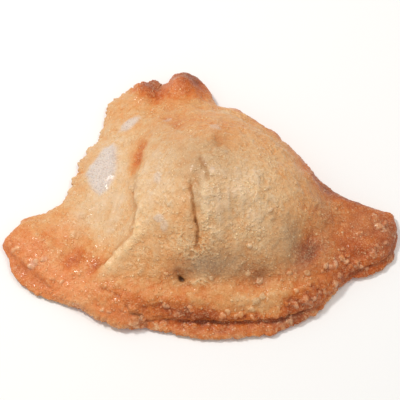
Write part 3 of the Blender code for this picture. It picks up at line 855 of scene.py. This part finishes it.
def set_stops(ramp, stops):
    """Gives a colour ramp its stops, as (position, colour) pairs."""
    while len(ramp.elements) > 1:
        ramp.elements.remove(ramp.elements[-1])
    for k, (position, colour) in enumerate(stops):
        element = ramp.elements[0] if k == 0 else ramp.elements.new(position)
        element.position = position
        element.color = colour


def linear(colour):
    """A display colour of 0 to 255 as the linear colour that a shader takes."""
    shares = [c / 255.0 for c in colour]
    return tuple(s / 12.92 if s <= 0.04045 else ((s + 0.055) / 1.055) ** 2.4 for s in shares)


def new_material(name):
    """A material with only its shader, and a wire to build the rest from."""
    material = bpy.data.materials.new(name)
    material.use_nodes = True
    tree = material.node_tree
    shader = tree.nodes["Principled BSDF"]
    coordinates = tree.nodes.new("ShaderNodeTexCoord")
    return material, shader, Wire(tree, coordinates.outputs["Object"])


def crust_material(colours):
    """Fried dough: pale to dark brown, speckled with tiny blisters, with an oily sheen, painted shade in its
    hollows, creases and pores, and painted glints on its blister tops and grain.
    """
    material, shader, place = new_material("fried_crust")

    def kept(name):
        """One of the numbers that the mesh keeps for each vertex."""
        return place.node("ShaderNodeAttribute", {"attribute_name": name}, None, "Fac")

    def specks(size_mm, detail):
        """Uneven lumps of a size, from 0 to 1."""
        inputs = {"Vector": place, "Scale": 1.0 / (size_mm * MM), "Detail": detail, "Roughness": 0.6}
        return place.node("ShaderNodeTexNoise", None, inputs)

    def pimples(size_mm, share):
        """Tiny domed blisters in some of the cells of a size, as their heights from 0 to 1."""
        inputs = {"Vector": place, "Scale": 1.0 / (size_mm * MM)}
        away = place.node("ShaderNodeTexVoronoi", None, inputs, "Distance")
        cell = place.node("ShaderNodeTexVoronoi", None, inputs, "Color")
        draw = cell.node("ShaderNodeSeparateColor", None, {"Color": cell}, 0)
        near = (1.0 - away * (3.6 - 1.4 * draw)).clamped()
        return near * (2.0 - near) * draw.math("LESS_THAN", draw, share)

    toast, film, filling_and_shade, blush = kept("toast"), kept("film"), kept("filling_and_shade"), kept("blush")
    pale, crease_shade, vent, foot, hollow = kept("pale"), kept("crease_shade"), kept("vent"), kept("foot"), kept("hollow")
    blistered, bubble = kept("blistered"), kept("bubble")
    mottle = specks(4.5, 3.0)
    shade = specks(2.6, 2.0)
    sand = specks(0.9, 2.0)
    grit = specks(0.42, 1.0)
    rough = 0.4 + blistered * 0.6 + film * 0.9
    # Pale flecks on the grain's high points are painted glints; the dark pores in its low points are painted
    # shade.
    glint_flecks = ((grit - 0.5).clamped() + (sand - 0.55).clamped() * 0.6) * rough
    pores = ((0.5 - grit).clamped() + (0.45 - sand).clamped() * 0.6) * rough
    beads = pimples(1.7, 0.45)
    small_beads = pimples(1.0, 0.55)
    domes = beads.math("MAXIMUM", beads, small_beads)
    # The dome tops get painted glints and their feet painted shade.
    tops = domes.ramp(0.45, 0.85) * (0.2 + blistered * 0.8)
    feet = domes.ramp(0.0, 0.2) * (1.0 - domes.ramp(0.2, 0.55))

    # Browner mottling, with the dome feet painted browner as shade and the domes a little paler.
    uneven = (mottle - 0.5) * 0.40 + (shade - 0.5) * 0.16 + feet * 0.08 - domes * 0.04
    brown = toast + uneven * (1.1 - toast * 0.5) * (0.6 + blistered * 0.5)
    # Painted shade: browner at the blister feet and in the hollows.
    brown = brown + foot * 0.05 + hollow * (0.38 - toast * 0.2)
    # Painted light: the glint flecks and the light side of the shade mottle.
    painted_light_specks = glint_flecks * (0.75 + toast * 0.4) + (shade - 0.5).clamped() * 0.2
    stops = [(k / (len(TONES) - 1), colours[tone]) for k, tone in enumerate(TONES)]
    dough = place.node("ShaderNodeValToRGB", {"stops": stops}, {"Fac": brown.clamped()})
    layers = (
        ("blush", "MIX", blush * 0.7),
        # Grey filling showing through, and painted shade on the right side.
        ("filling", "MIX", filling_and_shade * (0.8 + (sand - 0.5) * 1.2)),
        ("film", "MIX", film * (0.96 - (0.5 - sand).clamped() * 0.8)),
        # Painted shade in the grain's pores, on the dark side of the shade mottle and at the dome feet.
        ("pore", "MULTIPLY", pores * 1.9 + (0.5 - shade).clamped() * 0.6 + feet * 0.15),
        # Paler dough, partly painted highlight, with painted glints on the dome tops and in the flecks.
        ("blister", "MIX", pale * 0.45 + tops * (0.7 - toast * 0.4) + painted_light_specks),
        # The bubbles' pale skin, with painted highlights at their cores and rims.
        ("bubble", "MIX", bubble * 0.6),
        # Painted shade in the creases and under the fold's edge.
        ("crease", "MIX", crease_shade * 0.9),
        # The vent hole's inside, painted dark as shade.
        ("vent", "MIX", vent),
    )
    for name, blend, share in layers:
        dough = dough.under(colours[name], share.clamped(), blend)
    dough.feed(shader, "Base Color")

    oily = 0.44 - pale * 0.14 - bubble * 0.22 - tops * 0.22 + (sand - 0.5) * 0.36 - film * 0.04
    oily.clamped().feed(shader, "Roughness")
    glints = (grit - 0.54).clamped() * 4.0 * (0.4 + blistered * 0.6)
    glaze = bubble * 0.8 + film * 0.15 + tops * 0.3 + glints
    glaze.clamped().feed(shader, "Coat Weight")

    relief = beads * 0.36 + small_beads * 0.26 + sand * 0.46 + grit * 0.28
    bump = place.node("ShaderNodeBump", None, {"Strength": 1.0, "Distance": 0.48 * MM, "Height": relief})
    bump.feed(shader, "Normal")

    settings = {
        "IOR": 1.45,
        "Specular IOR Level": 0.34,
        "Coat Roughness": 0.12,
        "Subsurface Weight": 0.12,
        "Subsurface Radius": (0.8, 0.5, 0.3),
        "Subsurface Scale": 1.0 * MM,
    }
    for name, value in settings.items():
        shader.inputs[name].default_value = value
    return material


def floor_material(colour):
    """The studio floor's matt paper."""
    material, shader, place = new_material("studio_paper")
    shader.inputs["Base Color"].default_value = (*colour, 1.0)
    inputs = {"Vector": place, "Scale": 900.0, "Detail": 2.0}
    fibres = place.node("ShaderNodeTexNoise", None, inputs)
    bump = place.node("ShaderNodeBump", None, {"Strength": 0.05, "Distance": 0.05 * MM, "Height": fibres})
    bump.feed(shader, "Normal")
    shader.inputs["Roughness"].default_value = 0.9
    return material


def area_light(name, place, size, watts, colour):
    """A square soft light that looks at the samosa."""
    lamp = bpy.data.lights.new(name, "AREA")
    lamp.size = size
    lamp.energy = watts
    lamp.color = colour
    obj = bpy.data.objects.new(name, lamp)
    obj.location = place
    obj.rotation_euler = (Vector(LIGHT_AIM) - Vector(place)).to_track_quat("-Z", "Y").to_euler()
    bpy.context.scene.collection.objects.link(obj)


def colour_property(name, description, display):
    """A colour that a user would change, from its display values."""
    return bpy.props.FloatVectorProperty(
        name=name, description=description, default=linear(display), subtype="COLOR", min=0.0, max=1.0
    )


class CrustSettings(bpy.types.PropertyGroup):
    skin_mm: bpy.props.FloatProperty(
        name="Skin", description="Size of the crust's faces in millimetres", default=0.29, min=0.25, max=2.0
    )
    most_triangles: bpy.props.IntProperty(
        name="Most triangles", description="The crust is thinned out down to these", default=190000, min=1000
    )
    grain_mm: bpy.props.FloatProperty(
        name="Grain", description="Height of the grain in millimetres", default=0.07, min=0.0, max=1.0
    )
    fine_blisters: bpy.props.IntProperty(
        name="Fine blisters", description="Number of small blisters", default=4200, min=0
    )
    large_blisters: bpy.props.IntProperty(
        name="Large blisters", description="Number of large blisters", default=60, min=0
    )
    pale: colour_property("Pale dough", "Least fried dough", (223, 192, 157))
    cream: colour_property("Cream dough", "Lightly fried dough", (219, 176, 128))
    golden: colour_property("Golden dough", "Fried dough", (216, 151, 90))
    orange: colour_property("Orange dough", "Well fried dough", (206, 112, 40))
    brown: colour_property("Brown dough", "Browned dough", (178, 80, 14))
    dark: colour_property("Dark dough", "Darkest dough", (140, 58, 8))
    blush: colour_property("Blush", "Reddish salmon dough at the ears", (240, 146, 92))
    # The filling colour also paints shade on the right side.
    filling: colour_property("Filling", "Wet filling seen through thin dough", (144, 113, 86))
    film: colour_property("Film", "Skin of the white blisters", (213, 200, 192))
    # The blister colour also paints glints on the dome tops and grain.
    blister: colour_property("Blister", "Top of a small blister", (254, 220, 168))
    # The bubble colour also paints the bubbles' highlights.
    bubble: colour_property("Bubble", "Thin skin of the larger bubbles", (250, 208, 160))
    # Painted shade in the dough's pores.
    pore: colour_property("Pores", "What the dough is darkened by in its pores", (206, 184, 166))
    crease: colour_property("Crease", "Dough in the shadow of a crease", (126, 84, 44))
    # Painted shade inside the vent hole.
    vent: colour_property("Vent", "Inside of the vent hole", (92, 56, 26))


class StageSettings(bpy.types.PropertyGroup):
    floor: colour_property("Floor", "Studio floor", (244, 243, 241))
    floor_size: bpy.props.FloatProperty(
        name="Floor size", description="Width of the floor", default=4.0, unit="LENGTH", subtype="DISTANCE"
    )
    elevation: bpy.props.FloatProperty(
        name="Elevation",
        description="Angle of the camera above the table",
        default=math.radians(60.0),
        unit="ROTATION",
        subtype="ANGLE",
    )
    distance: bpy.props.FloatProperty(
        name="Distance",
        description="From the camera to the samosa",
        default=0.459,
        unit="LENGTH",
        subtype="DISTANCE",
    )
    lens: bpy.props.FloatProperty(name="Lens", description="Focal length in millimetres", default=135.0)
    key: bpy.props.FloatProperty(
        name="Key light", description="Power of the key light", default=1.84, unit="POWER"
    )
    fill: bpy.props.FloatProperty(
        name="Fill light", description="Power of the fill light", default=0.46, unit="POWER"
    )
    sky: bpy.props.FloatProperty(
        name="Sky", description="Strength of the even light all round", default=0.575
    )


class SAMOSA_OT_crust(bpy.types.Operator):
    """Grows the blistered crust on the parcel's shape"""

    bl_idname = "samosa.crust"
    bl_label = "Crust"

    def execute(self, context):
        style = context.scene.samosa_crust
        rng = np.random.default_rng(SEED)
        crust = object_from(copy_of_node("pastry"), "crust")
        even_skin(crust, style.skin_mm)
        mesh = crust.data
        skin = Skin(mesh)
        lift, masks = shape_crust(skin, rng, style)
        masks["toast"] = toast_crust(skin)
        masks["filling_and_shade"] = patched_share(skin, FILLING_AND_SHADE_PATCHES)
        masks["blush"] = patched_share(skin, BLUSHED)
        places = grown(skin, lift)
        move_vertices(mesh, places)
        # How deep each point lies in a hollow; the material paints the hollows darker as shade.
        small = np.clip(hollows(mesh, places, 6), -0.2, 0.2)
        broad = np.clip(hollows(mesh, places, 60), -0.3, 0.4)
        masks["hollow"] = small + broad
        for name, values in masks.items():
            store(mesh, name, values)
        thin_out(crust, style.most_triangles)
        mesh = crust.data
        move_vertices(mesh, inside_box(vectors(mesh.vertices, "co") / MM))
        mesh.shade_smooth()
        mesh.materials.clear()
        colours = {name: (*getattr(style, name), 1.0) for name in TONES + OVERLAYS}
        mesh.materials.append(crust_material(colours))
        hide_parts("pastry")
        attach(crust, "root")
        return {"FINISHED"}


class SAMOSA_OT_stage(bpy.types.Operator):
    """Lays the floor and sets up the lights and the camera"""

    bl_idname = "samosa.stage"
    bl_label = "Stage"

    def execute(self, context):
        style = context.scene.samosa_stage
        bm = bmesh.new()
        bmesh.ops.create_grid(bm, x_segments=1, y_segments=1, size=style.floor_size / 2)
        floor = object_from(bm, "studio_floor")
        floor.data.materials.append(floor_material(style.floor))
        area_light("key_light", KEY_PLACE, KEY_SIZE, style.key, WARM)
        area_light("fill_light", FILL_PLACE, FILL_SIZE, style.fill, WHITE)
        world = bpy.data.worlds.new("studio")
        world.use_nodes = True
        background = world.node_tree.nodes["Background"]
        background.inputs["Color"].default_value = (*WHITE, 1.0)
        background.inputs["Strength"].default_value = style.sky
        context.scene.world = world
        context.scene.view_settings.view_transform = "Standard"
        lens = bpy.data.cameras.new("camera")
        lens.lens = style.lens
        lens.sensor_width = 36.0
        lens.clip_start = 0.01
        camera = bpy.data.objects.new("camera", lens)
        back = Vector((0.0, -math.cos(style.elevation), math.sin(style.elevation)))
        camera.location = Vector(CAMERA_AIM) + back * style.distance
        camera.rotation_euler = (math.pi / 2 - style.elevation, 0.0, 0.0)
        context.scene.collection.objects.link(camera)
        context.scene.camera = camera
        return {"FINISHED"}


class SAMOSA_PT_panel(bpy.types.Panel):
    """The steps that make the samosa, in their order"""

    bl_idname = "SAMOSA_PT_panel"
    bl_label = "Samosa"
    bl_space_type = "VIEW_3D"
    bl_region_type = "UI"
    bl_category = "Samosa"

    def draw(self, context):
        for operator in OPERATORS:
            self.layout.operator(operator.bl_idname)
        for settings in (context.scene.samosa_crust, context.scene.samosa_stage):
            for name in settings.__annotations__:
                self.layout.prop(settings, name)


OPERATORS = (SAMOSA_OT_crust, SAMOSA_OT_stage)
CLASSES = (CrustSettings, StageSettings, *OPERATORS, SAMOSA_PT_panel)


def register():
    for cls in CLASSES:
        bpy.utils.register_class(cls)
    bpy.types.Scene.samosa_crust = bpy.props.PointerProperty(type=CrustSettings)
    bpy.types.Scene.samosa_stage = bpy.props.PointerProperty(type=StageSettings)


def unregister():
    del bpy.types.Scene.samosa_stage
    del bpy.types.Scene.samosa_crust
    for cls in reversed(CLASSES):
        bpy.utils.unregister_class(cls)


def main():
    register()
    bpy.ops.samosa.crust()
    bpy.ops.samosa.stage()


if __name__ == "__main__":
    main()
